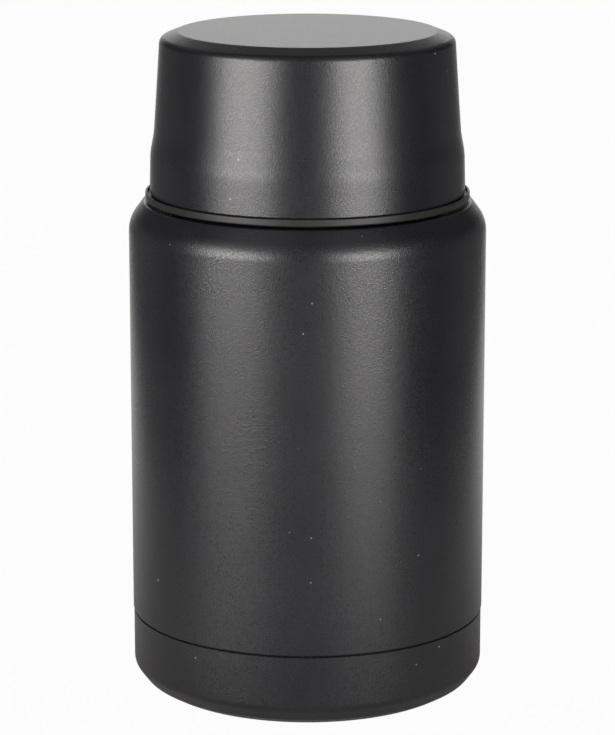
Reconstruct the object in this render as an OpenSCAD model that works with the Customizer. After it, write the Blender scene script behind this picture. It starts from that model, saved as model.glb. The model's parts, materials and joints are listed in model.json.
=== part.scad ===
// Insulated food jar: a double-walled steel vacuum body, a screw-in stopper with a push-button
// vent, and a screw-on cup.  Millimetres, +Z up, origin at the middle of the base's underside.
// Almost every piece is turned: its outline is a short list of [radius, height, corner radius].

/* [Body] */
// Outer diameter of the body
body_d = 100; // [80:1:130]
// Height of the shoulder's rim above the table
shoulder_h = 138.9; // [110:0.1:180]
// How far the shoulder's rim stands in from the body's side
shoulder_in = 4; // [3:0.1:7]
// Height of the sloping shoulder
shoulder_drop = 5.4; // [4:0.1:9]
// Radius where the side turns into the shoulder
shoulder_round = 8.6; // [2:0.1:9]
// Thickness of every steel wall
steel = 0.6; // [0.4:0.05:0.9]
// Width of the vacuum space between the two walls
vacuum_gap = 3.2; // [2.5:0.1:5]

/* [Base] */
// Height of the base cup, up to its seam
base_h = 20.6; // [16:0.2:30]
// How far the base cup's side stands in from the body's
base_in = 0.2; // [0.1:0.05:0.6]
// Width of the sloping corner at the bottom
base_corner_w = 5.8; // [4:0.1:8]
// Height of the sloping corner at the bottom
base_corner_h = 5.5; // [4.5:0.1:6]
// Width of the ring that the jar stands on
foot_w = 5.1; // [3:0.1:8]
// Depth of the recess inside that ring
foot_recess = 1.6; // [0.8:0.1:2.5]
// Height of the dark line between the base cup and the body
seam = 0.25; // [0.15:0.05:0.5]

/* [Vacuum end] */
// Height of the shell's hidden bottom edge above the table
shell_z = 7; // [6.8:0.1:9]
// Height of the skirt of the plate that closes the vacuum space
plate_skirt = 3; // [2:0.1:5]
// Diameter of the dimple that holds the seal
dimple_d = 14; // [10:0.5:18]
// Height of that dimple
dimple_h = 1.2; // [0.8:0.1:2]
// Diameter of the bead that seals the pumping hole
bead_d = 6.4; // [4:0.2:8]
// Room for the getter between the plate and the liner
getter_room = 3.4; // [3:0.1:5]
// Diameter of the getter pellet
getter_d = 8; // [5:0.5:10]
// Height of the getter pellet
getter_h = 1.7; // [1:0.1:2]
// Distance of the getter from the axis
getter_x = 20; // [14:0.5:26]
// Thickness of the getter's clip
clip_t = 0.3; // [0.2:0.05:0.4]
// Width of the getter's clip
clip_w = 4; // [2:0.5:6]
// Thickness of the reflector foil
foil = 0.2; // [0.1:0.05:0.3]

/* [Neck] */
// Width of the ledge between the shoulder's rim and the neck
ledge_w = 8.6; // [6.5:0.1:10]
// Height of the neck above the shoulder's rim
neck_h = 12.1; // [9.5:0.1:15]
// Gap between the two walls in the neck
neck_gap = 0.5; // [0.3:0.05:0.8]
// Width of the liner's own shoulder
liner_shoulder_w = 3.7; // [2.5:0.1:5]
// Height of the liner's own shoulder
liner_shoulder_h = 6.4; // [5:0.1:9]
// Radius between the liner's wall and its shoulder
liner_shoulder_round = 6; // [3:0.5:8]
// Radius between the liner's floor and its wall
liner_round = 9; // [4:0.5:14]

/* [Stopper] */
// Radial room for a thread between two screwed pieces
thread_room = 1; // [0.8:0.05:1.2]
// Wall of the stopper's skirt
skirt_wall = 1.5; // [1.2:0.1:2.2]
// Gap between the shoulder's ledge and the stopper's ring
ring_gap = 0.6; // [0.3:0.05:0.9]
// How far the stopper's ring stands in from the shoulder's rim
ring_in = 0.7; // [0.4:0.05:1.5]
// Thickness of the stopper's ring
ring_t = 1.1; // [0.8:0.05:1.6]
// Height of the lip that stands up round the ring
lip_h = 1; // [0.6:0.05:1.6]
// Width of that lip
lip_w = 0.7; // [0.6:0.05:0.9]
// Height of the land that the cup screws on
land_h = 8.9; // [7:0.1:10]
// Depth of the step from that land to the grip above it
grip_step = 0.9; // [0.6:0.05:1.2]
// Number of finger flutes round the grip
flute_count = 24; // [12:1:40]
// Radius of one finger flute
flute_r = 2; // [1.2:0.1:2.4]
// Depth of one finger flute
flute_depth = 0.6; // [0.4:0.05:0.8]
// Thickness of the stopper's deck
deck_t = 1.9; // [1.4:0.1:2.4]
// Clear height between the plug's flange and the deck
deck_room = 2.9; // [2:0.1:4]

/* [Plug] */
// Gap between the plug and the mouth of the jar
plug_room = 0.8; // [0.6:0.05:1.2]
// Wall of the plug
plug_wall = 1.6; // [1.2:0.1:2]
// Depth of the plug below the mouth's rim
plug_depth = 14; // [12:0.2:18]
// Height of the stopper's gasket
gasket_h = 2.4; // [1.8:0.1:3.2]
// Depth of the groove that holds the gasket
groove_depth = 1.5; // [1.2:0.1:1.8]
// Height of the groove above the plug's underside
groove_up = 2.1; // [1.5:0.1:3]
// Thickness of the foam inside the stopper
stopper_foam_h = 7.2; // [4:0.1:8]

/* [Vent] */
// Diameter of the vent button
button_d = 17.6; // [14:0.2:20]
// How far the button stands above the deck
button_up = 0.8; // [0.4:0.1:1.6]
// Travel of the button
press = 3; // [2:0.1:3.2]
// Depth of the well that the button works in
well_depth = 6.5; // [6:0.1:7.5]
// Wall of that well
well_wall = 1.5; // [1.2:0.1:2]
// Wall of the button
button_wall = 1.2; // [1:0.1:1.6]
// Diameter of the stem
stem_d = 5.2; // [4:0.1:6]
// Length of the guide under the well
guide_l = 4; // [2:0.1:6]
// Diameter of the vent hole in the plug
vent_d = 9; // [8.6:0.1:11]
// Diameter of the valve disc
valve_d = 13; // [12.6:0.2:16]
// Thickness of the valve
valve_h = 2.2; // [1.6:0.1:3]
// Diameter of the spring's wire
wire_d = 0.8; // [0.5:0.05:0.9]
// Number of turns in the spring
spring_turns = 3; // [2:0.25:3]

/* [Cup] */
// Height of the cup
cup_h = 45.1; // [36:0.1:60]
// How far the cup's foot stands in from the stopper's ring
cup_in = 1.25; // [1.2:0.05:2]
// Gap between the stopper's ring and the cup's foot
cup_gap = 0.6; // [0.3:0.05:0.9]
// How far the cup's foot is turned in under its liner
hem_w = 1.4; // [1:0.1:1.8]
// Radius of the cup's foot
hem_round = 0.7; // [0.65:0.05:0.9]
// Height of the cup's lower band
band_h = 11.4; // [10.5:0.1:13]
// Taper of the lower band
band_taper = 0.28; // [0:0.02:0.5]
// Height of the soft step above the band
step_h = 5.4; // [4:0.1:8]
// Depth of that step
step_in = 1.04; // [0.6:0.02:1.2]
// Taper of the side above the step
side_taper = 1.78; // [1:0.02:2.2]
// Width of the chamfer round the top
chamfer_w = 5.05; // [3:0.05:7]
// Height of that chamfer
chamfer_h = 2; // [1.5:0.05:3]
// Radius of both edges of that chamfer
chamfer_round = 2.2; // [0.7:0.1:3]
// Wall of the cup's moulded liner
liner_wall = 1.4; // [1:0.1:1.8]
// Depth of the ledge that the cup's gasket lies under
gasket_ledge = 1.2; // [1:0.1:1.4]
// Height of the cup's gasket
cup_gasket_h = 1.5; // [1.2:0.1:2]
// Taper of the bowl from its ledge to its floor
bowl_taper = 1.8; // [1:0.1:2.5]
// Distance from the cup's top down to its liner
ceiling_drop = 8.7; // [8:0.1:12]
// Free height under the foam in the cup
cup_foam_free = 3.6; // [3.4:0.1:4.5]

/* [Clearances] */
// Gap between pieces that are pressed or bonded together
fit = 0.1; // [0.05:0.01:0.15]
// Gap between pieces that move past each other
run = 0.3; // [0.2:0.05:0.4]
// Radial gap between the stem and its guide
slide_fit = 0.08; // [0.05:0.01:0.1]

/* [Hidden] */

// Smoothness: sides of a round piece, and the largest turn of one chord of a corner
round_fn = 96;
chord_turn = 10;
chord_min = 3;
wire_sides = 8;
coil_steps = 18;

// Where the base's corner bends, as shares of its width and its height
knee = [0.52, 0.32];

// Corner radii shared by many pieces
soft = 0.3;
blend = 0.5;
easy = 1;

// Radii of the jar, from the outside in
body_r = body_d / 2;
base_r = body_r - base_in;
joggle_r = base_r - steel - fit;
plate_r = joggle_r - steel - fit;
liner_r = body_r - steel - vacuum_gap;
rim_r = body_r - shoulder_in;
neck_r = rim_r - ledge_w;
liner_neck_r = neck_r - steel - neck_gap;
mouth_r = liner_neck_r - steel;

// Heights of the jar
shoulder_z = shoulder_h - shoulder_drop;
joggle_z = base_h + seam - fit;
joggle_h = 0.5;
plate_z = shell_z + plate_skirt;
liner_z = plate_z + getter_room;
liner_top_z = shoulder_h - steel - getter_room;
mouth_z = shoulder_h + neck_h;

// Radii of the stopper
skirt_r = neck_r + thread_room;
ring_r = rim_r - ring_in;
land_r = skirt_r + skirt_wall;
grip_r = land_r - grip_step;
plug_r = mouth_r - plug_room;
plug_bore_r = plug_r - plug_wall;
groove_r = plug_r - groove_depth;
plug_flange_r = neck_r + fit;
seat_r = plug_flange_r + fit;
deck_bore_r = seat_r - plug_wall;
well_r = button_d / 2 + run + fit;
well_out_r = well_r + well_wall;

// Heights of the stopper
ring_z = shoulder_h + ring_gap;
flange_z = ring_z + ring_t;
land_z = flange_z + land_h;
plug_flange_z = mouth_z + run * 2;
seat_z = plug_flange_z + plug_wall;
deck_z = seat_z + deck_room;
deck_top = deck_z + deck_t;
well_z = deck_top - well_depth;
plug_z = mouth_z - plug_depth;
plug_floor_z = plug_z + plug_wall;
groove_z = plug_z + groove_up;
groove_h = gasket_h + 2 * run;
gasket_z = groove_z + run;
sump_z = groove_z + groove_h + easy;

// The vent's own radii and heights
stem_r = stem_d / 2;
socket_r = stem_r + fit / 2;
guide_r = stem_r + slide_fit;
guide_wall = 1.3;
vent_r = vent_d / 2;
chimney_wall = 1.5;
button_top = deck_top + button_up;
button_under = button_top - button_wall - fit * 2;
button_z = well_z + press + blend;
button_r = button_d / 2;
boss_r = socket_r + button_wall;
spring_r = (boss_r + button_r - button_wall) / 2;
stem_z = plug_z - fit * 2 - valve_h + easy;
spring_h = button_under - well_z - fit;

// The cup
cup_r = ring_r - cup_in;
cup_z = flange_z + cup_gap;
cup_top = cup_z + cup_h;
band_r = cup_r - band_taper;
waist_r = band_r - step_in;
crown_r = waist_r - side_taper;
flat_r = crown_r - chamfer_w;
step_round = 20;
thread_bore_r = land_r + thread_room + fit;
bowl_r = thread_bore_r - gasket_ledge;
bowl_floor_r = bowl_r - bowl_taper;
collar_h = 6;
cup_gasket_z = land_z + run;
ledge_z = cup_gasket_z + cup_gasket_h + run;
ceiling_z = cup_top - ceiling_drop;
puck_over = 1.6;

// Colours
coat = "#2b2b2e";
steel_colour = "#c3c6c9";
gloss = "#111114";
moulded = "#3a3a3e";
rubber = "#d8d8d4";
foam = "#ece6d2";

// --- outlines -----------------------------------------------------------------------------

function unit(v) = v / norm(v);
function flat(p) = [p.x, p.y];
function radius_of(p) = len(p) > 2 ? p[2] : 0;
// Normal on the left of the way from a to b
function left(a, b) = let (u = unit(flat(b) - flat(a))) [-u.y, u.x];
// Smallest turn that takes an angle from a to b
function turn_between(a, b) = b - a > 180 ? b - a - 360 : b - a < -180 ? b - a + 360 : b - a;

// The arc that rounds corner p between its neighbours a and b
function corner(a, p, b) =
    let (u = unit(flat(a) - flat(p)),
         v = unit(flat(b) - flat(p)),
         half = acos(max(-1, min(1, u * v))) / 2,
         r = radius_of(p))
    r <= 0 ? [flat(p)] :
    let (middle = flat(p) + unit(u + v) * r / sin(half),
         from = flat(p) + u * r / tan(half) - middle,
         to = flat(p) + v * r / tan(half) - middle,
         start = atan2(from.y, from.x),
         turn = turn_between(start, atan2(to.y, to.x)),
         n = max(chord_min, ceil(abs(turn) / chord_turn)))
    [for (i = [0:n]) middle + r * [cos(start + turn * i / n), sin(start + turn * i / n)]];

// An open path, and a closed ring, with their corners rounded
function rounded(path) = [for (i = [0:len(path) - 1])
    each i == 0 || i == len(path) - 1 ? [flat(path[i])] : corner(path[i - 1], path[i], path[i + 1])];
function rounded_ring(ring) = let (n = len(ring)) [for (i = [0:n - 1])
    each corner(ring[(i + n - 1) % n], ring[i], ring[(i + 1) % n])];

// The same path, moved to its left by d, with each corner's radius following
function moved(path, d) = [for (i = [0:len(path) - 1])
    let (p = path[i],
         m = left(path[max(i - 1, 0)], path[max(i, 1)]),
         n = left(path[min(i, len(path) - 2)], path[min(i + 1, len(path) - 1)]),
         way = (m + n) / (1 + m * n),
         bend = sign(m.x * n.y - m.y * n.x))
    [p.x + d * way.x, p.y + d * way.y, max(0, radius_of(p) - bend * d)]];
function backwards(list) = [for (i = [len(list) - 1:-1:0]) list[i]];

// Sheet of thickness t on the left of a path
module sheet(path, t) {
    polygon(concat(rounded(path), backwards(rounded(moved(path, t)))));
}

module turned() {
    rotate_extrude($fn = round_fn) children();
}

module turned_sheet(path, t) {
    turned() sheet(path, t);
}

module turned_ring(ring) {
    turned() polygon(rounded_ring(ring));
}

// --- jar ----------------------------------------------------------------------------------

module outer_shell() {
    color(coat) turned_sheet([
        [joggle_r, shell_z],
        [joggle_r, joggle_z, soft],
        [body_r, joggle_z + joggle_h, blend],
        [body_r, shoulder_z, shoulder_round],
        [rim_r, shoulder_h, easy - soft],
        [neck_r, shoulder_h, easy - soft],
        [neck_r, mouth_z - steel]], steel);
}

module inner_liner() {
    color(steel_colour) turned_sheet([
        [0, liner_z],
        [liner_r, liner_z, liner_round],
        [liner_r, liner_top_z - liner_shoulder_h, liner_shoulder_round],
        [liner_r - liner_shoulder_w, liner_top_z, liner_shoulder_round / 2],
        [liner_neck_r, liner_top_z, easy],
        [liner_neck_r, mouth_z - steel, soft],
        [neck_r, mouth_z - steel]], steel);
}

module base_cup() {
    foot_out_r = base_r - base_corner_w;
    color(coat) turned_sheet([
        [0, foot_recess],
        [foot_out_r - foot_w - foot_recess, foot_recess, easy],
        [foot_out_r - foot_w, 0, easy],
        [foot_out_r, 0, easy * 2],
        [foot_out_r + base_corner_w * knee.x, base_corner_h * knee.y, easy * 2],
        [base_r, base_corner_h, easy * 3.5],
        [base_r, base_h]], steel);
}

module vacuum_base() {
    dimple_r = dimple_d / 2;
    color(steel_colour) turned_sheet([
        [plate_r, shell_z],
        [plate_r, plate_z, easy],
        [dimple_r + blend, plate_z, blend],
        [dimple_r - blend, plate_z + dimple_h, blend],
        [0, plate_z + dimple_h]], steel);
}

module seal_bead() {
    top = plate_z + dimple_h - steel;
    color("silver") turned_ring([
        [0, top], [bead_d / 2, top], [bead_d / 2, top - dimple_h, easy - soft], [0, top - dimple_h]]);
}

module getter() {
    low = plate_z + clip_t;
    color("dimgray") translate([getter_x, 0, 0]) turned_ring([
        [0, low], [getter_d / 2, low, soft], [getter_d / 2, low + getter_h, soft],
        [getter_d / 4, low + getter_h], [getter_d / 4 - soft, low + getter_h - soft],
        [0, low + getter_h - soft]]);
}

// A strip bent round the pellet, with its two ends hooked over the top
module getter_clip() {
    half = getter_d / 2 + fit + clip_t;
    high = getter_h + 2 * clip_t;
    hook = half - getter_d / 5;
    color(steel_colour) translate([getter_x, clip_w / 2, plate_z]) rotate([90, 0, 0])
        linear_extrude(clip_w) sheet([
            [-hook, high], [-half, high, soft + fit], [-half, 0, soft + fit],
            [half, 0, soft + fit], [half, high, soft + fit], [hook, high]], clip_t);
}

module reflector_foil() {
    low = liner_z + liner_round + easy;
    high = liner_top_z - 2 * liner_shoulder_h;
    inside = liner_r + fit;
    color("goldenrod") turned_ring([
        [inside, low], [inside + foil, low], [inside + foil, high], [inside, high]]);
}

// --- stopper ------------------------------------------------------------------------------

module stopper_shell() {
    color(gloss) difference() {
        turned_ring([
            [skirt_r, ring_z, soft],
            [ring_r, ring_z, blend],
            [ring_r, flange_z + lip_h, lip_w / 2 - fit / 2],
            [ring_r - lip_w, flange_z + lip_h, lip_w / 2 - fit / 2],
            [ring_r - lip_w, flange_z, soft],
            [land_r, flange_z, soft],
            [land_r, land_z, soft],
            [grip_r, land_z, soft],
            [grip_r, deck_top, easy + soft],
            [well_r, deck_top, blend],
            [well_r, well_z, soft],
            [guide_r, well_z],
            [guide_r, well_z - well_wall - guide_l],
            [guide_r + guide_wall, well_z - well_wall - guide_l, soft],
            [guide_r + guide_wall, well_z - well_wall, soft],
            [well_out_r, well_z - well_wall, blend],
            [well_out_r, deck_z, blend],
            [deck_bore_r, deck_z, blend],
            [deck_bore_r, seat_z],
            [seat_r, seat_z],
            [seat_r, mouth_z + run],
            [skirt_r, mouth_z + run]]);
        for (i = [0:flute_count - 1])
            rotate(i * 360 / flute_count)
                translate([grip_r + flute_r - flute_depth, 0, land_z + grip_step])
                    cylinder(h = deck_top, r = flute_r, $fn = round_fn);
    }
}

module stopper_plug() {
    chimney_r = vent_r + chimney_wall;
    chimney_z = well_z - well_wall - run;
    color(moulded) turned_ring([
        [vent_r, plug_z, soft],
        [plug_r, plug_z, easy],
        [plug_r, groove_z, soft],
        [groove_r, groove_z, soft],
        [groove_r, groove_z + groove_h, soft],
        [plug_r, groove_z + groove_h, soft],
        [plug_r, plug_flange_z, soft],
        [plug_flange_r, plug_flange_z, soft],
        [plug_flange_r, seat_z],
        [plug_bore_r, seat_z],
        [plug_bore_r, sump_z, soft],
        [groove_r - plug_wall, sump_z, soft],
        [groove_r - plug_wall, plug_floor_z, blend],
        [chimney_r, plug_floor_z, blend],
        [chimney_r, chimney_z, soft],
        [vent_r, chimney_z, soft]]);
}

// Ring with two lips that seal against the mouth
module stopper_gasket() {
    back = groove_r + run;
    lip = mouth_r - run;
    root = lip - 2 * run;
    pitch = gasket_h / 4;
    color(rubber) turned_ring(concat(
        [[back, gasket_z, soft / 2]],
        [for (i = [0:4]) [i % 2 == 0 ? root : lip, gasket_z + i * pitch, soft / 2]],
        [[back, gasket_z + gasket_h, soft / 2]]));
}

module stopper_insulation() {
    inside = well_out_r + blend;
    outside = plug_bore_r - run;
    high = deck_z - run;
    low = high - stopper_foam_h;
    color(foam) turned_ring([
        [inside, low, easy], [outside, low, easy], [outside, high, easy], [inside, high, easy]]);
}

// --- vent ---------------------------------------------------------------------------------

module vent_button() {
    color(gloss) turned_ring([
        [0, button_top],
        [button_r, button_top, easy],
        [button_r, button_z, soft],
        [button_r - button_wall, button_z, soft],
        [button_r - button_wall, button_under, blend],
        [boss_r, button_under, soft],
        [boss_r, button_z, soft],
        [socket_r, button_z],
        [socket_r, button_under - fit],
        [0, button_under - fit]]);
}

module vent_stem() {
    top = button_under - 2 * fit;
    color(moulded) turned_ring([
        [0, stem_z], [stem_r, stem_z, soft], [stem_r, top, soft], [0, top]]);
}

// Round wire wound into a helix of constant pitch
module vent_spring() {
    wire_r = wire_d / 2;
    rings = ceil(spring_turns * coil_steps);
    rise = spring_h - wire_d;
    points = [for (i = [0:rings]) for (j = [0:wire_sides - 1])
        let (a = i * 360 / coil_steps * spring_turns * coil_steps / rings,
             b = j * 360 / wire_sides,
             r = spring_r + wire_r * cos(b))
        [r * cos(a), r * sin(a), well_z + fit / 2 + wire_r + rise * i / rings + wire_r * sin(b)]];
    sides = [for (i = [0:rings - 1]) for (j = [0:wire_sides - 1])
        let (k = (j + 1) % wire_sides, here = i * wire_sides, next = here + wire_sides)
        [here + j, here + k, next + k, next + j]];
    first = [for (j = [wire_sides - 1:-1:0]) j];
    last = [for (j = [0:wire_sides - 1]) rings * wire_sides + j];
    color(steel_colour) polyhedron(points, concat(sides, [first, last]));
}

module vent_valve() {
    top = plug_z - 2 * fit;
    color(rubber) turned_ring([
        [0, top - valve_h],
        [valve_d / 2 - 2 * easy, top - valve_h, blend],
        [valve_d / 2, top - easy + soft / 2, soft],
        [valve_d / 2, top, soft / 2],
        [socket_r, top],
        [socket_r, stem_z - fit / 2],
        [0, stem_z - fit / 2]]);
}

// --- cup ----------------------------------------------------------------------------------

module cup_shell() {
    color(coat) turned_sheet([
        [cup_r - hem_w, cup_z],
        [cup_r, cup_z, hem_round],
        [band_r, cup_z + band_h, step_round],
        [waist_r, cup_z + band_h + step_h, step_round],
        [crown_r, cup_top - chamfer_h, chamfer_round],
        [flat_r, cup_top, chamfer_round],
        [0, cup_top]], steel);
}

module cup_liner() {
    low = steel + fit;
    // Bore of the cup's shell at a height above its foot, within the band
    function shell_bore(up) = cup_r - band_taper * up / band_h - steel - fit;
    color(moulded) turned_ring([
        [thread_bore_r, cup_z + low, soft],
        [shell_bore(low), cup_z + low, soft],
        [shell_bore(collar_h), cup_z + collar_h, easy],
        [bowl_r + liner_wall, ledge_z, easy],
        [bowl_floor_r + liner_wall, ceiling_z, easy * 3.5],
        [0, ceiling_z],
        [0, ceiling_z - liner_wall],
        [bowl_floor_r, ceiling_z - liner_wall, easy * 2.5],
        [bowl_r, ledge_z, soft / 2],
        [thread_bore_r, ledge_z, soft]]);
}

module cup_insulation() {
    low = ceiling_z + cup_foam_free;
    high = cup_top - steel - run - fit;
    inside = flat_r - 2 * run;
    outside = flat_r + puck_over;
    color(foam) turned_ring([
        [0, low],
        [outside, low, blend],
        [outside, high - (outside - inside) * chamfer_h / chamfer_w],
        [inside, high],
        [0, high]]);
}

module cup_gasket() {
    inside = grip_r + run;
    outside = thread_bore_r - run;
    color(rubber) turned_ring([
        [inside, cup_gasket_z, soft],
        [outside, cup_gasket_z, soft],
        [outside, cup_gasket_z + cup_gasket_h, soft],
        [inside, cup_gasket_z + cup_gasket_h, soft]]);
}

outer_shell();
inner_liner();
base_cup();
vacuum_base();
seal_bead();
getter();
getter_clip();
reflector_foil();
stopper_shell();
stopper_plug();
stopper_gasket();
stopper_insulation();
vent_button();
vent_stem();
vent_spring();
vent_valve();
cup_shell();
cup_liner();
cup_insulation();
cup_gasket();
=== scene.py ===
# %% [markdown]
# # An insulated food jar, finished in Blender
# The jar is a double-walled steel body with a charcoal powder coat, a stopper whose satin black
# ring shows at the shoulder, and a screw-on cup.  Its pieces arrive at their real size and place.
# This lesson gives each of them its finish, adds the four threads that the solids leave out,
# winds a finer spring for the vent, and sets up a plain studio.

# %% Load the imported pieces
import json
import math

import bpy
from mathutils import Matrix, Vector


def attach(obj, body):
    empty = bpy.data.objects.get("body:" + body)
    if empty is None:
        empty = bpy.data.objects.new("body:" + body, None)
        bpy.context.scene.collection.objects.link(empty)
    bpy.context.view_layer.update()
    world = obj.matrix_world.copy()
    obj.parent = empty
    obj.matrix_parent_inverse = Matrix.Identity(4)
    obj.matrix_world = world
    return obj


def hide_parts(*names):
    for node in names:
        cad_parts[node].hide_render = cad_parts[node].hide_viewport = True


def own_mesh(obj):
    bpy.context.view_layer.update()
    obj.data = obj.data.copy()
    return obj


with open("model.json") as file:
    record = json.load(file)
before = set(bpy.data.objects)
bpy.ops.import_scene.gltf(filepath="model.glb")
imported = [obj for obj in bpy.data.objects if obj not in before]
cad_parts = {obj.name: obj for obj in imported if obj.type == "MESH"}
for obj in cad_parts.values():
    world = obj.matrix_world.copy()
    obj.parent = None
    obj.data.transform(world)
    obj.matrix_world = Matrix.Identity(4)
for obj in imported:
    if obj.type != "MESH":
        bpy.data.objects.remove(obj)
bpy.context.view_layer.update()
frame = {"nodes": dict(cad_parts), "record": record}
nodes = frame["nodes"]
MM = 0.001

# %% [markdown]
# ## The camera first
# A product shot wants a long lens a little above the subject, so that upright sides stay nearly
# parallel.  The lens, distance and tilt are fixed numbers, because framing by hand drifts.

# %% Camera
CAMERA_DISTANCE = 0.8956
CAMERA_HEIGHT = 0.3051
CAMERA_TILT_DOWN = 13.48
LENS = 159.35
FILM_HEIGHT = 36.0

camera_data = bpy.data.cameras.new("camera")
camera_data.lens = LENS
camera_data.sensor_fit = "VERTICAL"
camera_data.sensor_height = FILM_HEIGHT
camera = bpy.data.objects.new("camera", camera_data)
camera.location = (0, -CAMERA_DISTANCE, CAMERA_HEIGHT)
camera.rotation_euler = (math.radians(90 - CAMERA_TILT_DOWN), 0, 0)
bpy.context.scene.collection.objects.link(camera)
bpy.context.scene.camera = camera
bpy.context.scene.view_settings.view_transform = "Standard"

# %% [markdown]
# ## A short way to write shader trees
# Every finish below is a small tree of nodes.  Making each node takes several lines of plain
# Blender Python, so one helper makes a node, sets its settings and fills or links its inputs.

# %% Helpers for materials
def add(tree, kind, settings=None, **inputs):
    """A new shader node: settings are its own properties, inputs are values or linked sockets."""
    node = tree.nodes.new("ShaderNode" + kind)
    for name, value in (settings or {}).items():
        setattr(node, name, value)
    for name, value in inputs.items():
        socket = node.inputs[int(name[1:])] if name[0] == "_" else node.inputs[name.replace("_", " ")]
        if isinstance(value, bpy.types.NodeSocket):
            tree.links.new(value, socket)
        else:
            socket.default_value = value
    return node


def new_finish(name):
    """An empty material, its tree and its main shader."""
    material = bpy.data.materials.new(name)
    material.use_nodes = True
    tree = material.node_tree
    return material, tree, tree.nodes["Principled BSDF"]


def in_millimetres(tree):
    """Object coordinates scaled so that one unit of a texture is one millimetre."""
    place = add(tree, "TexCoord").outputs["Object"]
    return add(tree, "Mapping", Vector=place, Scale=(1 / MM,) * 3).outputs["Vector"]


def noise(tree, where, size, detail=2.0, rough=0.5, **settings):
    """Noise whose lumps are about size millimetres across, from 0 to 1."""
    kind = {"noise_dimensions": "3D", **settings}
    slot = "W" if kind["noise_dimensions"] == "1D" else "Vector"
    return add(tree, "TexNoise", kind, Scale=1 / size, Detail=detail, Roughness=rough,
               **{slot: where}).outputs[0]


def spread(tree, value, low, high, start=0.0, end=1.0):
    """value stretched from start..end onto low..high, and kept inside it."""
    return add(tree, "MapRange", _0=value, _1=start, _2=end, _3=low, _4=high).outputs[0]


def blend_colours(tree, share, first, second):
    """first where share is 0, second where it is 1."""
    node = add(tree, "Mix", {"data_type": "RGBA"}, _0=share)
    for socket, colour in ((node.inputs[6], first), (node.inputs[7], second)):
        if isinstance(colour, bpy.types.NodeSocket):
            tree.links.new(colour, socket)
        else:
            socket.default_value = (*colour, 1)
    return node.outputs[2]


def add_up(tree, first, second, share=1.0):
    """first plus second times share."""
    return add(tree, "Math", {"operation": "MULTIPLY_ADD"}, _0=second, _1=share, _2=first).outputs[0]


def emboss(tree, shader, height, depth):
    """Bends the shader's light as a relief depth millimetres deep would."""
    bump = add(tree, "Bump", Height=height, Distance=depth * MM, Strength=1.0)
    tree.links.new(bump.outputs[0], shader.inputs["Normal"])
    return bump


# %% [markdown]
# ## Powder coat
# Powder coat is sprayed as dust and melted in an oven, so it sets with a fine, even dimpling like
# orange peel, and the odd grain of dust stays pale on the surface.  Packed cells give the dimples,
# since cells touch as dimples do, and noise adds grit between them.  The dust is sparse cells.
# The cup is sprayed apart from the body and came out smoother and more even, so the dimples'
# depth, the roughness and how much it varies are inputs.

# %% Powder coat
COAT_DARK = (0.0062, 0.0066, 0.0088)
COAT_PALE = (0.0094, 0.0096, 0.0120)
DUST = (0.26, 0.26, 0.27)
DIMPLE = 0.42
GRIT = 0.22
CLOUD = 24.0
MOTTLE = 1.5
DUST_CELL = 5.5
DUST_PICKED = (0.62, 0.66)
DUST_RIM = (0.03, 0.055)


def powder_coat(name="charcoal powder coat", depth=0.038, rough=0.27, uneven=0.11):
    """Charcoal coat with dimples about depth millimetres deep, and a roughness of rough -+ uneven."""
    material, tree, shader = new_finish(name)
    where = in_millimetres(tree)
    peel = add(tree, "TexVoronoi", Vector=where, Scale=1 / DIMPLE).outputs["Distance"]
    grit = noise(tree, where, GRIT, detail=0.0)
    cloud = noise(tree, where, CLOUD, detail=3.0)
    cells = add(tree, "TexVoronoi", Vector=where, Scale=1 / DUST_CELL)
    picked = spread(tree, cells.outputs["Color"], 0, 1, *DUST_PICKED)
    near = spread(tree, cells.outputs["Distance"], 1, 0, *DUST_RIM)
    dust = add(tree, "Math", {"operation": "MULTIPLY"}, _0=picked, _1=near).outputs[0]
    body = blend_colours(tree, spread(tree, cloud, 0, 1, 0.3, 0.7), COAT_DARK, COAT_PALE)
    tree.links.new(blend_colours(tree, dust, body, DUST), shader.inputs["Base Color"])
    mottle = noise(tree, where, MOTTLE, detail=1.0)
    speckle = spread(tree, grit, rough - uneven, rough + uneven, 0.3, 0.7)
    tree.links.new(add_up(tree, speckle, mottle, share=0.03), shader.inputs["Roughness"])
    emboss(tree, shader, add_up(tree, peel, grit, share=0.5), depth)
    return material


# %% [markdown]
# ## Bare steel
# The inside of the jar is stainless steel that was spun and polished on a lathe, which leaves
# fine rings about the axis.  Height plus distance from the axis runs across those rings on the
# wall and on the floor alike, so one line of noise along that sum draws them everywhere.

# %% Bare steel
STEEL = (0.60, 0.595, 0.585)
STEEL_ROUGH = 0.27
LATHE_LINE = 0.35


def ring_lines(tree, where, size, detail=3.0):
    """Noise that changes only across the lathe's rings."""
    parts = add(tree, "SeparateXYZ", Vector=where)
    flat = add(tree, "CombineXYZ", X=parts.outputs["X"], Y=parts.outputs["Y"])
    out = add(tree, "VectorMath", {"operation": "LENGTH"}, _0=flat.outputs[0]).outputs["Value"]
    across = add(tree, "Math", {"operation": "ADD"}, _0=out, _1=parts.outputs["Z"]).outputs[0]
    return noise(tree, across, size, detail=detail, noise_dimensions="1D")


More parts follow.
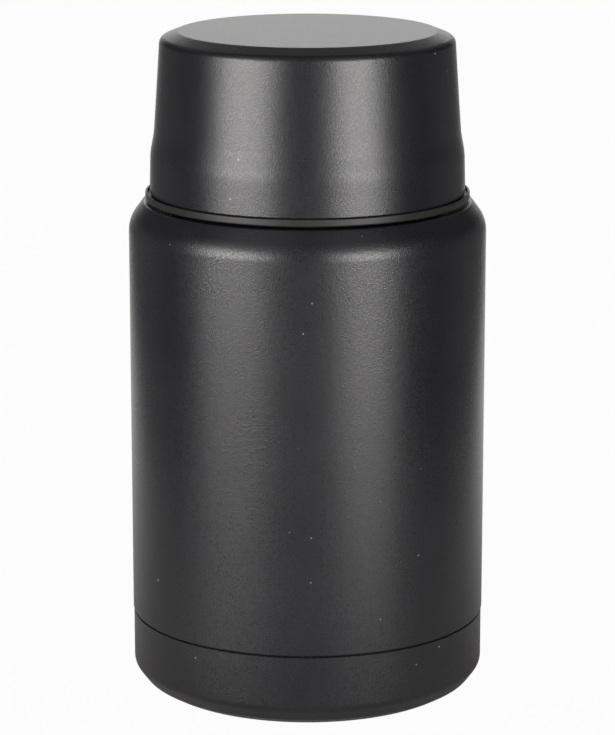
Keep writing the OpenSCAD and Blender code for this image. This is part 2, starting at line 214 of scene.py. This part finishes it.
def turned_steel():
    material, tree, shader = new_finish("turned stainless steel")
    where = in_millimetres(tree)
    lines = ring_lines(tree, where, LATHE_LINE)
    bands = ring_lines(tree, where, 5.0)
    haze = noise(tree, where, 9.0, detail=4.0)
    shade = add_up(tree, spread(tree, lines, 0, 0.7, 0.3, 0.7), bands, 0.3)
    darker = tuple(c * 0.82 for c in STEEL)
    tree.links.new(blend_colours(tree, shade, darker, STEEL), shader.inputs["Base Color"])
    wear = add_up(tree, spread(tree, lines, STEEL_ROUGH - 0.06, STEEL_ROUGH + 0.08), haze, 0.08)
    tree.links.new(wear, shader.inputs["Roughness"])
    shader.inputs["Metallic"].default_value = 1.0
    shader.inputs["Anisotropic"].default_value = 0.55
    around = add(tree, "Tangent", {"direction_type": "RADIAL", "axis": "Z"})
    tree.links.new(around.outputs[0], shader.inputs["Tangent"])
    emboss(tree, shader, lines, 0.004)
    return material


# %% [markdown]
# ## The neck
# The neck is masked while the body is sprayed, so that the stopper screws on clean steel.  The
# coat ends in a slightly wandering line where the mask was.  This finish is the coat above with
# steel laid over it from that height up, which keeps the coat the same on both sides of the line.

# %% Coat with a bare neck
MASK_EDGE = 139.7
MASK_SOFT = 0.1
NECK_DARK = (0.49, 0.485, 0.48)
NECK_ROUGH = 0.28


def blend_values(tree, share, first, second):
    """first where share is 0, second where it is 1."""
    return add(tree, "Mix", _0=share, _2=first, _3=second).outputs[0]


def coat_with_bare_neck():
    material = powder_coat("charcoal coat and bare neck")
    tree = material.node_tree
    shader = tree.nodes["Principled BSDF"]
    where = in_millimetres(tree)
    height = add(tree, "SeparateXYZ", Vector=where).outputs["Z"]
    wander = noise(tree, where, 5.0)
    bare = spread(tree, add_up(tree, height, wander, 0.3), 0, 1, MASK_EDGE, MASK_EDGE + MASK_SOFT)
    lines = ring_lines(tree, where, LATHE_LINE)
    steel = blend_colours(tree, lines, NECK_DARK, STEEL)
    relief = tree.nodes["Bump"].inputs["Height"]
    flat = add(tree, "Math", {"operation": "MULTIPLY"}, _0=lines, _1=0.08).outputs[0]
    for socket, blend, over in ((shader.inputs["Base Color"], blend_colours, steel),
                                (shader.inputs["Roughness"], blend_values, NECK_ROUGH),
                                (relief, blend_values, flat)):
        coat = socket.links[0].from_socket
        tree.links.new(blend(tree, bare, coat, over), socket)
    tree.links.new(bare, shader.inputs["Metallic"])
    return material


# %% [markdown]
# ## Moulded plastics
# The ring and the button come out of the mould with a soft satin skin.  The plug and the cup's
# liner come from a spark-eroded mould, whose skin is an even fine pitting that scatters light.

# %% Moulded plastics
def satin_plastic():
    material, tree, shader = new_finish("satin black moulding")
    where = in_millimetres(tree)
    flow = noise(tree, where, 7.0, detail=2.0)
    wipe = noise(tree, where, 0.5, detail=4.0)
    tint = blend_colours(tree, flow, (0.0125, 0.012, 0.0118), (0.020, 0.0185, 0.0175))
    tree.links.new(tint, shader.inputs["Base Color"])
    rough = add_up(tree, spread(tree, flow, 0.33, 0.41, 0.3, 0.7), wipe, 0.06)
    tree.links.new(rough, shader.inputs["Roughness"])
    shader.inputs["IOR"].default_value = 1.38
    emboss(tree, shader, add_up(tree, flow, wipe, 0.05), 0.012)
    return material


def pitted_plastic():
    material, tree, shader = new_finish("pitted grey moulding")
    where = in_millimetres(tree)
    pits = noise(tree, where, 0.22, detail=2.5, rough=0.6)
    flow = noise(tree, where, 14.0, detail=2.0)
    tint = blend_colours(tree, flow, (0.040, 0.040, 0.043), (0.056, 0.056, 0.060))
    tree.links.new(tint, shader.inputs["Base Color"])
    tree.links.new(spread(tree, pits, 0.45, 0.66, 0.3, 0.7), shader.inputs["Roughness"])
    emboss(tree, shader, pits, 0.012)
    return material


# %% [markdown]
# ## Soft pieces
# Silicone is milky: light goes a little way in and comes out elsewhere, which Subsurface gives.
# It also picks up lint, so its gloss is uneven.  The foam is closed-cell, and its cut face shows
# the cells, which Voronoi distance draws as shallow cups, with shade painted darker in each hollow.

# %% Silicone and foam
def silicone():
    material, tree, shader = new_finish("milky silicone")
    where = in_millimetres(tree)
    lint = noise(tree, where, 1.6, detail=5.0, rough=0.7)
    cloud = noise(tree, where, 6.0)
    tint = blend_colours(tree, cloud, (0.55, 0.55, 0.53), (0.66, 0.66, 0.64))
    tree.links.new(tint, shader.inputs["Base Color"])
    tree.links.new(spread(tree, lint, 0.34, 0.56, 0.35, 0.65), shader.inputs["Roughness"])
    shader.inputs["Subsurface Weight"].default_value = 0.35
    shader.inputs["Subsurface Scale"].default_value = 1.2 * MM
    emboss(tree, shader, lint, 0.006)
    return material


def closed_cell_foam():
    material, tree, shader = new_finish("closed-cell foam")
    where = in_millimetres(tree)
    cells = add(tree, "TexVoronoi", Vector=where, Scale=1 / 0.9).outputs["Distance"]
    small = add(tree, "TexVoronoi", Vector=where, Scale=1 / 0.4).outputs["Distance"]
    cups = add_up(tree, cells, small, 0.4)
    # Painted shade: the colour darkens towards each cell's hollow centre.
    shade = spread(tree, cups, 0, 1, 0.1, 0.8)
    tint = blend_colours(tree, shade, (0.62, 0.56, 0.42), (0.86, 0.81, 0.67))
    tree.links.new(tint, shader.inputs["Base Color"])
    shader.inputs["Roughness"].default_value = 0.85
    emboss(tree, shader, cups, 0.12)
    return material


# %% [markdown]
# ## Small metals and the seal
# The hidden pieces in the vacuum space are never seen in use, but they show when the jar is cut
# or taken apart.  Foil creases in straight facets, wire carries fine lines from its die, the
# getter is pressed powder, and the seal is a drop of grey glass.

# %% Foil, wire, getter and seal
def copper_foil():
    material, tree, shader = new_finish("creased copper foil")
    where = in_millimetres(tree)
    creases = add(tree, "TexVoronoi", {"feature": "F2"}, Vector=where, Scale=1 / 11).outputs["Distance"]
    stain = noise(tree, where, 8.0, detail=4.0)
    tint = blend_colours(tree, stain, (0.72, 0.36, 0.22), (0.84, 0.52, 0.36))
    tree.links.new(tint, shader.inputs["Base Color"])
    tree.links.new(spread(tree, stain, 0.2, 0.36), shader.inputs["Roughness"])
    shader.inputs["Metallic"].default_value = 1.0
    emboss(tree, shader, creases, 0.25)
    return material


def drawn_wire():
    material, tree, shader = new_finish("drawn spring wire")
    where = in_millimetres(tree)
    lines = noise(tree, where, 0.12, detail=2.0)
    tint = blend_colours(tree, lines, (0.46, 0.46, 0.47), (0.62, 0.62, 0.63))
    tree.links.new(tint, shader.inputs["Base Color"])
    tree.links.new(spread(tree, lines, 0.2, 0.34), shader.inputs["Roughness"])
    shader.inputs["Metallic"].default_value = 1.0
    emboss(tree, shader, lines, 0.004)
    return material


def pressed_powder():
    material, tree, shader = new_finish("pressed getter powder")
    where = in_millimetres(tree)
    grain = noise(tree, where, 0.3, detail=4.0, rough=0.7)
    tint = blend_colours(tree, grain, (0.11, 0.11, 0.115), (0.26, 0.255, 0.25))
    tree.links.new(tint, shader.inputs["Base Color"])
    shader.inputs["Roughness"].default_value = 0.72
    shader.inputs["Metallic"].default_value = 0.6
    emboss(tree, shader, grain, 0.03)
    return material


def sealing_glass():
    material, tree, shader = new_finish("grey sealing glass")
    where = in_millimetres(tree)
    swirl = noise(tree, where, 1.5, detail=3.0)
    tint = blend_colours(tree, swirl, (0.30, 0.31, 0.30), (0.46, 0.48, 0.46))
    tree.links.new(tint, shader.inputs["Base Color"])
    tree.links.new(spread(tree, swirl, 0.06, 0.14), shader.inputs["Roughness"])
    emboss(tree, shader, swirl, 0.01)
    return material


# %% [markdown]
# ## Smooth shading for the solids
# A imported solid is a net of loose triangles, and a rounded corner on it is a few narrow bands.
# Joined corners, sharp edges only above a set angle, and normals weighted by face area make the
# bands shade as one curve and keep long straight walls straight.  A modifier does this, so the
# solid's own mesh stays as it came.

# %% Shading of the solids
SHARP_ANGLE = 28.0
WELD_DISTANCE = 0.002


def smoothing_tree():
    tree = bpy.data.node_groups.new("joined and smooth", "GeometryNodeTree")
    face = tree.interface
    face.new_socket("Geometry", in_out="INPUT", socket_type="NodeSocketGeometry")
    face.new_socket("Geometry", in_out="OUTPUT", socket_type="NodeSocketGeometry")
    angle = face.new_socket("Sharp angle", in_out="INPUT", socket_type="NodeSocketFloat")
    angle.default_value = math.radians(SHARP_ANGLE)
    join = face.new_socket("Join distance", in_out="INPUT", socket_type="NodeSocketFloat")
    join.default_value = WELD_DISTANCE * MM
    start = tree.nodes.new("NodeGroupInput")
    end = tree.nodes.new("NodeGroupOutput")
    drop = tree.nodes.new("GeometryNodeRemoveAttribute")
    drop.inputs["Name"].default_value = "custom_normal"
    weld = tree.nodes.new("GeometryNodeMergeByDistance")
    faces = tree.nodes.new("GeometryNodeSetShadeSmooth")
    edges = tree.nodes.new("GeometryNodeSetShadeSmooth")
    edges.domain = "EDGE"
    turn = tree.nodes.new("GeometryNodeInputMeshEdgeAngle")
    less = tree.nodes.new("FunctionNodeCompare")
    less.operation = "LESS_THAN"
    wire = tree.links.new
    wire(start.outputs["Geometry"], drop.inputs["Geometry"])
    wire(drop.outputs["Geometry"], weld.inputs["Geometry"])
    wire(start.outputs["Join distance"], weld.inputs["Distance"])
    wire(weld.outputs["Geometry"], faces.inputs["Geometry"])
    wire(faces.outputs["Geometry"], edges.inputs["Geometry"])
    wire(turn.outputs["Unsigned Angle"], less.inputs["A"])
    wire(start.outputs["Sharp angle"], less.inputs["B"])
    wire(less.outputs["Result"], edges.inputs["Shade Smooth"])
    wire(edges.outputs["Geometry"], end.inputs["Geometry"])
    return tree


smoothing = smoothing_tree()


def smooth(obj):
    """Joins, smooths and weights the normals of obj, with modifiers only."""
    rounder = obj.modifiers.new("joined and smooth", "NODES")
    rounder.node_group = smoothing
    weights = obj.modifiers.new("weighted normals", "WEIGHTED_NORMAL")
    weights.mode = "FACE_AREA_WITH_ANGLE"
    weights.keep_sharp = True


# %% [markdown]
# ## Give every solid its finish
# A piece's finish is looked up by the name of its material slot, so a slot that several pieces
# share, such as the steel of the liner and the clip, is made once and is the same on all.  The
# body with its bare neck and the smoother cup then get coats of their own.

# %% Finishes of the solids
finishes = {
    "powder_coat": powder_coat(),
    "bare_steel": turned_steel(),
    "spring_steel": drawn_wire(),
    "seal_glass": sealing_glass(),
    "getter_alloy": pressed_powder(),
    "copper_foil": copper_foil(),
    "gloss_black": satin_plastic(),
    "moulded_grey": pitted_plastic(),
    "silicone": silicone(),
    "foam": closed_cell_foam(),
}
for part in frame["record"]["subparts"]:
    solid = nodes[part["node"]]
    for place in solid.material_slots:
        place.material = finishes[part["material_slot"]]
    smooth(solid)
own_coats = {
    "outer_shell": coat_with_bare_neck(),
    "cup_shell": powder_coat("smoother charcoal powder coat", depth=0.03, rough=0.29, uneven=0.05),
}
for name, finish in own_coats.items():
    for place in nodes[name].material_slots:
        place.material = finish
print("finishes:", len(finishes) + len(own_coats))

# %% [markdown]
# ## What winds round the axis
# The stopper screws on the neck, the cup screws on the stopper, and a coil spring lifts the vent's
# button.  A thread and a spring are both a section swept along a spiral, and they differ in that
# section and in their ends: a thread runs out into its wall, and a spring's last half turn lies
# flat.  One function builds the Geometry Nodes tree for either section.  The sizes are the tree's
# inputs, so all four threads share one tree, and each is easy to retune.

# %% Tree for a section swept along a spiral
STEPS_PER_TURN = 96
RUN_OUT_ROUNDING = 0.3
THINNEST = 0.02


def spiral_tree(name, make_section):
    """A right-hand spiral with make_section's outline swept along it, with its sizes as inputs."""
    tree = bpy.data.node_groups.new(name, "GeometryNodeTree")
    tree.interface.new_socket("Geometry", in_out="OUTPUT", socket_type="NodeSocketGeometry")
    for label in ("Radius", "Foot", "Lead", "Turns", "Flat end", "Run out", "Depth", "Width", "Start"):
        tree.interface.new_socket(label, in_out="INPUT", socket_type="NodeSocketFloat")
    tree.interface.new_socket("Finish", in_out="INPUT", socket_type="NodeSocketMaterial")
    wire = tree.links.new
    inlet = tree.nodes.new("NodeGroupInput").outputs

    def calc(operation, *values):
        """The result of one Math node, whose inputs are numbers or sockets."""
        inputs = {f"_{i}": value for i, value in enumerate(values)}
        return add(tree, "Math", {"operation": operation}, **inputs).outputs[0]

    # A straight line with enough points, bent into a spiral by moving each point
    rail = tree.nodes.new("GeometryNodeCurvePrimitiveLine")
    cut = tree.nodes.new("GeometryNodeResampleCurve")
    wire(rail.outputs[0], cut.inputs["Curve"])
    wire(calc("MULTIPLY", inlet["Turns"], STEPS_PER_TURN), cut.inputs["Count"])
    along = tree.nodes.new("GeometryNodeSplineParameter").outputs["Factor"]
    turn = calc("MULTIPLY", along, inlet["Turns"])
    left = calc("SUBTRACT", inlet["Turns"], turn)
    angle = calc("MULTIPLY_ADD", turn, 2 * math.pi, inlet["Start"])
    climbed = calc("SUBTRACT", turn, inlet["Flat end"])
    highest = calc("MULTIPLY_ADD", inlet["Flat end"], -2.0, inlet["Turns"])
    climbed = calc("MINIMUM", calc("MAXIMUM", climbed, 0.0), highest)
    spot = add(tree, "CombineXYZ", X=calc("MULTIPLY", calc("COSINE", angle), inlet["Radius"]),
               Y=calc("MULTIPLY", calc("SINE", angle), inlet["Radius"]),
               Z=calc("MULTIPLY_ADD", climbed, inlet["Lead"], inlet["Foot"]))
    bend = tree.nodes.new("GeometryNodeSetPosition")
    wire(cut.outputs[0], bend.inputs["Geometry"])
    wire(spot.outputs[0], bend.inputs["Position"])
    # Up stays up along the spiral, so that the section keeps facing the axis
    level = tree.nodes.new("GeometryNodeSetCurveNormal")
    level.mode = "Z_UP"
    wire(bend.outputs[0], level.inputs["Curve"])
    sweep = tree.nodes.new("GeometryNodeCurveToMesh")
    sweep.inputs["Fill Caps"].default_value = True
    wire(level.outputs[0], sweep.inputs["Curve"])
    wire(make_section(tree, calc, inlet), sweep.inputs["Profile Curve"])
    # The section grows from nothing over the run-out at each end
    ends = calc("DIVIDE", calc("MINIMUM", turn, left), calc("MAXIMUM", inlet["Run out"], 1e-4))
    grown = calc("MAXIMUM", calc("SMOOTH_MIN", ends, 1.0, RUN_OUT_ROUNDING), THINNEST)
    wire(grown, sweep.inputs["Scale"])
    real = tree.nodes.new("GeometryNodeRealizeInstances")
    paint = tree.nodes.new("GeometryNodeSetMaterial")
    outlet = tree.nodes.new("NodeGroupOutput")
    wire(sweep.outputs[0], real.inputs[0])
    wire(real.outputs[0], paint.inputs["Geometry"])
    wire(inlet["Finish"], paint.inputs["Material"])
    wire(paint.outputs[0], outlet.inputs[0])
    return tree


# %% Sections of a ridge and of a wire
CREST_SHARE = 0.42
CORNER_SHARE = 0.12
WIRE_SIDES = 20


def ridge_section(tree, calc, inlet):
    """A trapezium on its side, half of it sunk in the wall, with rounded corners."""
    shape = tree.nodes.new("GeometryNodeCurvePrimitiveQuadrilateral")
    shape.mode = "TRAPEZOID"
    shape.inputs["Offset"].default_value = 0.0
    tree.links.new(calc("MULTIPLY", inlet["Width"], 2 - CREST_SHARE), shape.inputs["Bottom Width"])
    tree.links.new(calc("MULTIPLY", inlet["Width"], CREST_SHARE), shape.inputs["Top Width"])
    tree.links.new(calc("MULTIPLY", calc("ABSOLUTE", inlet["Depth"]), 2.0), shape.inputs["Height"])
    soften = tree.nodes.new("GeometryNodeFilletCurve")
    soften.mode = "POLY"
    soften.inputs["Count"].default_value = 4
    tree.links.new(shape.outputs[0], soften.inputs["Curve"])
    tree.links.new(calc("MULTIPLY", inlet["Width"], CORNER_SHARE), soften.inputs["Radius"])
    lean = tree.nodes.new("GeometryNodeTransform")
    quarter = calc("MULTIPLY", calc("SIGN", inlet["Depth"]), math.pi / 2)
    tree.links.new(soften.outputs[0], lean.inputs["Geometry"])
    tree.links.new(add(tree, "CombineXYZ", Z=quarter).outputs[0], lean.inputs["Rotation"])
    return lean.outputs[0]


def wire_section(tree, calc, inlet):
    """A circle."""
    shape = tree.nodes.new("GeometryNodeCurvePrimitiveCircle")
    shape.inputs["Resolution"].default_value = WIRE_SIDES
    tree.links.new(calc("MULTIPLY", inlet["Width"], 0.5), shape.inputs["Radius"])
    return shape.outputs[0]


# %% A piece from a tree
NOT_LENGTHS = ("Turns", "Flat end", "Run out", "Start")


def made_by(tree, name, body, slot, **sizes):
    """A plain mesh made by a tree, riding on a body, with its lengths given in millimetres."""
    maker = bpy.data.objects.new("maker", bpy.data.meshes.new("maker"))
    bpy.context.scene.collection.objects.link(maker)
    work = maker.modifiers.new("tree", "NODES")
    work.node_group = tree
    sockets = {s.name: s.identifier for s in tree.interface.items_tree if s.in_out == "INPUT"}
    for key, value in sizes.items():
        label = key.replace("_", " ").capitalize()
        work[sockets[label]] = float(value) if label in NOT_LENGTHS else value * MM
    work[sockets["Finish"]] = finishes[slot]
    bpy.context.view_layer.update()
    ready = maker.evaluated_get(bpy.context.evaluated_depsgraph_get())
    mesh = bpy.data.meshes.new_from_object(ready)
    bpy.data.objects.remove(maker)
    for face in mesh.polygons:
        face.use_smooth = True
    piece = bpy.data.objects.new(name, mesh)
    bpy.context.scene.collection.objects.link(piece)
    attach(piece, body)
    print(name, "has", len(mesh.polygons), "faces")
    return piece


# %% The four threads
LEAD = 4.0
THREAD = {"lead": LEAD, "flat_end": 0.0, "run_out": 0.12, "width": 1.6}
DEPTH = 0.65
UNDER = 1.0
NECK_RADIUS, SKIRT_RADIUS, NECK_FOOT = 37.4, 38.4, 142.2
LAND_RADIUS, CUP_RADIUS, LAND_FOOT = 39.9, 41.0, 143.4
LAND_START = 2.0

thread = spiral_tree("screw thread", ridge_section)
made_by(thread, "neck_thread", "jar", "bare_steel", radius=NECK_RADIUS, foot=NECK_FOOT,
        turns=1.6, depth=DEPTH, start=0.0, **THREAD)
made_by(thread, "stopper_skirt_thread", "stopper", "gloss_black", radius=SKIRT_RADIUS,
        foot=NECK_FOOT - UNDER, turns=1.35, depth=-DEPTH, start=0.0, **THREAD)
made_by(thread, "stopper_land_thread", "stopper", "gloss_black", radius=LAND_RADIUS,
        foot=LAND_FOOT, turns=1.2, depth=DEPTH, start=LAND_START, **THREAD)
made_by(thread, "cup_thread", "cup", "moulded_grey", radius=CUP_RADIUS,
        foot=LAND_FOOT - UNDER, turns=1.2, depth=-DEPTH, start=LAND_START, **THREAD)

# %% [markdown]
# ## The vent's spring
# The imported spring is a coarse stand-in.  A round wire with its last half turns lying flat takes
# its place.

# %% Vent spring
WELL_FLOOR = 151.5
SPRING_TOP = 157.35
WIRE = 0.8
SPRING_RADIUS = 5.725
SPRING_TURNS = 3.4
SPRING_FLAT = 0.5

coil = spiral_tree("coil spring", wire_section)
climb = (SPRING_TOP - WELL_FLOOR - WIRE) / (SPRING_TURNS - 2 * SPRING_FLAT)
spring = made_by(coil, "vent_spring_wire", "stopper", "spring_steel", radius=SPRING_RADIUS,
                 foot=WELL_FLOOR + WIRE / 2, lead=climb, turns=SPRING_TURNS, flat_end=SPRING_FLAT,
                 run_out=0.0, width=WIRE, start=0.0)
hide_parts("vent_spring")
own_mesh(spring)
print("spring pitch:", round(climb, 2), "mm")

# %% [markdown]
# ## The studio
# The jar stands on a strip of white paper that runs back and curves up behind it.  From the
# front the camera sees an almost even white, from the paper and from the room past its edges.
# From behind, the paper near the soft boxes is a shade brighter than the room, so its edge shows
# faintly.  For light that falls on the jar the room is dim, and only what lies far behind the
# jar is white in a mirror, so a dark coat stays dark and bare steel still shows the background.

# %% Helpers for light
def any_of(tree, *values):
    """The largest of some values."""
    best = values[0]
    for value in values[1:]:
        best = add(tree, "Math", {"operation": "MAXIMUM"}, _0=best, _1=value).outputs[0]
    return best


def seen_in_mirrors(tree):
    """1 on rays that come from a mirror-like or clear surface."""
    ray = add(tree, "LightPath").outputs
    return any_of(tree, ray["Is Glossy Ray"], ray["Is Transmission Ray"])


# %% The room
ROOM_DIM = 0.05
ROOM_BEHIND = (0.9, 0.98)
ROOM_WHITE = 0.974


def studio_room():
    """White behind the jar, also in mirrors, and dim around it, with white for every camera."""
    world = bpy.data.worlds.new("studio")
    bpy.context.scene.world = world
    world.use_nodes = True
    tree = world.node_tree
    tree.nodes.clear()
    way = add(tree, "SeparateXYZ", Vector=add(tree, "TexCoord").outputs["Generated"])
    behind = spread(tree, way.outputs["Y"], 0, 1, *ROOM_BEHIND)
    mirrored = add(tree, "Math", {"operation": "MULTIPLY"}, _0=seen_in_mirrors(tree), _1=behind)
    white = any_of(tree, add(tree, "LightPath").outputs["Is Camera Ray"], mirrored.outputs[0])
    level = spread(tree, white, ROOM_DIM, ROOM_WHITE)
    light = add(tree, "Background", Color=(1, 1, 1, 1), Strength=level)
    add(tree, "OutputWorld", Surface=light.outputs[0])


studio_room()

# %% The paper
PAPER_WIDTH = 0.50
PAPER_FRONT = -0.6
PAPER_BEND_Y = 1.45
PAPER_BEND = 0.3
PAPER_TOP = 1.0
PAPER_OWN_LIGHT = 0.965
# Painted shade on the paper: its lit colour runs from the first level near the jar to the second
# further out.
PAPER_PAINTED_SHADE_LEVELS = (0.62, 0.9)
PAPER_PAINTED_SHADE_REACH = (0.1, 0.6)
PAPER_MIRRORED_BY = 0.3
PAPER_COLOUR = (1.0, 0.965, 0.93)


def paper():
    """A strip that lies flat, curves up behind the jar and stands, with shade painted into its colour
    near the jar.
    """
    bend = [(PAPER_BEND_Y + PAPER_BEND * math.sin(a), PAPER_BEND * (1 - math.cos(a)))
            for a in (math.radians(d) for d in range(0, 91, 6))]
    path = [(PAPER_FRONT, 0)] + bend + [(bend[-1][0], PAPER_TOP)]
    half = PAPER_WIDTH / 2
    corners = [(x, y, z) for y, z in path for x in (-half, half)]
    faces = [(2 * i, 2 * i + 1, 2 * i + 3, 2 * i + 2) for i in range(len(path) - 1)]
    mesh = bpy.data.meshes.new("paper")
    mesh.from_pydata(corners, [], faces)
    for face in mesh.polygons:
        face.use_smooth = True
    material = bpy.data.materials.new("white paper")
    material.use_nodes = True
    tree = material.node_tree
    tree.nodes.clear()
    where = add(tree, "TexCoord").outputs["Object"]
    away = add(tree, "VectorMath", {"operation": "LENGTH"}, _0=where).outputs["Value"]
    # Painted shade: the paper's lit colour darkens towards the jar, standing in for the jar's shadow on
    # it.
    near_jar_painted_shade = spread(tree, away, *PAPER_PAINTED_SHADE_LEVELS, *PAPER_PAINTED_SHADE_REACH)
    lit = add(tree, "BsdfDiffuse", Color=blend_colours(tree, near_jar_painted_shade, (0, 0, 0), PAPER_COLOUR))
    own = add(tree, "Emission", Color=(1, 1, 1, 1), Strength=1.0)
    camera_ray = add(tree, "LightPath").outputs["Is Camera Ray"]
    parts = add(tree, "SeparateXYZ", Vector=where)
    far = spread(tree, parts.outputs["Y"], 0, 1, 0.0, PAPER_MIRRORED_BY)
    mirrored = add(tree, "Math", {"operation": "MULTIPLY"}, _0=seen_in_mirrors(tree), _1=far)
    share = spread(tree, any_of(tree, camera_ray, mirrored.outputs[0]), 0, PAPER_OWN_LIGHT)
    mix = add(tree, "MixShader", _0=share, _1=lit.outputs[0], _2=own.outputs[0])
    add(tree, "OutputMaterial", Surface=mix.outputs[0])
    mesh.materials.append(material)
    strip = bpy.data.objects.new("paper", mesh)
    bpy.context.scene.collection.objects.link(strip)


paper()

# %% [markdown]
# ## Soft boxes
# Two bright boxes stand left and right of the camera.  A round wall mirrors each as an upright
# streak, and because their lower edges are near the jar's level, the streaks fade downward.
# Ever weaker boxes above them let the streaks fade out over the shoulder as well.  Faint boxes
# to the rear keep the jar's edges from going black.  Two behind it show in the flat top and in
# its rounded edge.

# %% Soft boxes
LAMP_COLOUR = (1.0, 0.975, 0.955)
LAMP_DISTANCE = 1.2
LAMP_AIM = Vector((0, 0, 0.11))
SOFT_BOXES = (
    # name, azimuth, width, lower edge, upper edge, radiance
    ("left soft box", -47.5, 41, -8, 18, 10.6),
    ("right soft box", 37, 32, -9.5, 18, 10.8),
    ("left upper box", -47, 44, 18, 29, 1.9),
    ("right upper box", 36.5, 36, 18, 29, 1.8),
    ("left high box", -47, 40, 29, 42, 0.95),
    ("right high box", 36.5, 32, 29, 42, 0.9),
    ("left top box", -47, 34, 42, 66, 0.4),
    ("right top box", 36.5, 26, 42, 66, 0.4),
    ("left rear box", -128, 56, -22, 6, 0.12),
    ("right rear box", 125, 56, -22, 6, 0.12),
    ("back soft box", 180, 30, 7, 24, 0.49),
    ("back upper box", 180, 80, 30, 66, 0.21),
)


def soft_box(name, azimuth, wide, low, high, radiance):
    """A lamp that fills the angles from azimuth -+ wide / 2 and from low to high, in degrees."""
    level = math.radians((low + high) / 2)
    half_tall = math.radians((high - low) / 2)
    lamp = bpy.data.lights.new(name, "AREA")
    lamp.shape = "RECTANGLE"
    lamp.color = LAMP_COLOUR
    lamp.size = 2 * LAMP_DISTANCE * math.tan(math.radians(wide / 2))
    lamp.size_y = 2 * LAMP_DISTANCE * math.tan(half_tall)
    lamp.energy = radiance * math.pi * lamp.size * lamp.size_y
    box = bpy.data.objects.new(name, lamp)
    turn = math.radians(azimuth)
    flat = LAMP_DISTANCE * math.cos(level)
    rise = LAMP_DISTANCE * math.sin(level)
    box.location = LAMP_AIM + Vector((flat * math.sin(turn), -flat * math.cos(turn), rise))
    box.rotation_euler = (LAMP_AIM - box.location).to_track_quat("-Z", "Y").to_euler()
    bpy.context.scene.collection.objects.link(box)


for row in SOFT_BOXES:
    soft_box(*row)
print("soft boxes:", len(SOFT_BOXES))
